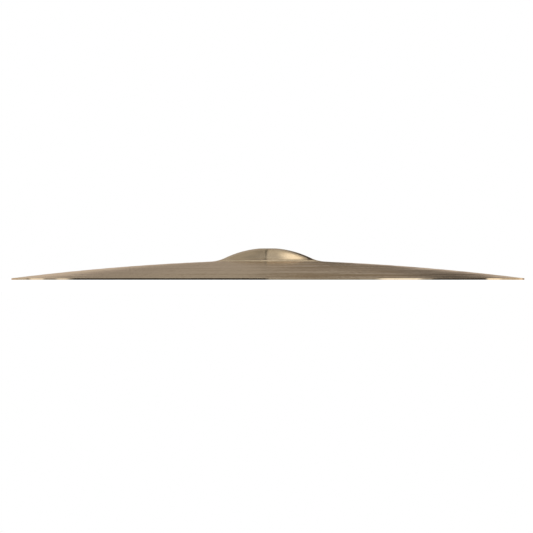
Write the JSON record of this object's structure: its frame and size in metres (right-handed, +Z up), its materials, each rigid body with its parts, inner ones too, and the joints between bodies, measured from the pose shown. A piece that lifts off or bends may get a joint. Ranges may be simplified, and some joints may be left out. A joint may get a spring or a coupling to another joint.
{
  "type": "crash cymbal",
  "caption": "Round bronze crash cymbal: a shallow curved disc with a domed central bell, a mounting hole and concentric lathe grooves.",
  "frame": {"origin": "on the cymbal's axis, in the plane that its rim stands on", "axes": "+Z up along the axis, from the open underside to the bell's crown; the cymbal is round, so X and Y are any two directions across it"},
  "size_m": [0.4572, 0.4572, 0.028],
  "materials": {
    "bronze": "turned on a lathe in fine concentric grooves, satin, uncoated"
  },
  "bodies": {
    "root": {"cymbal": "bronze"}
  },
  "joints": []
}
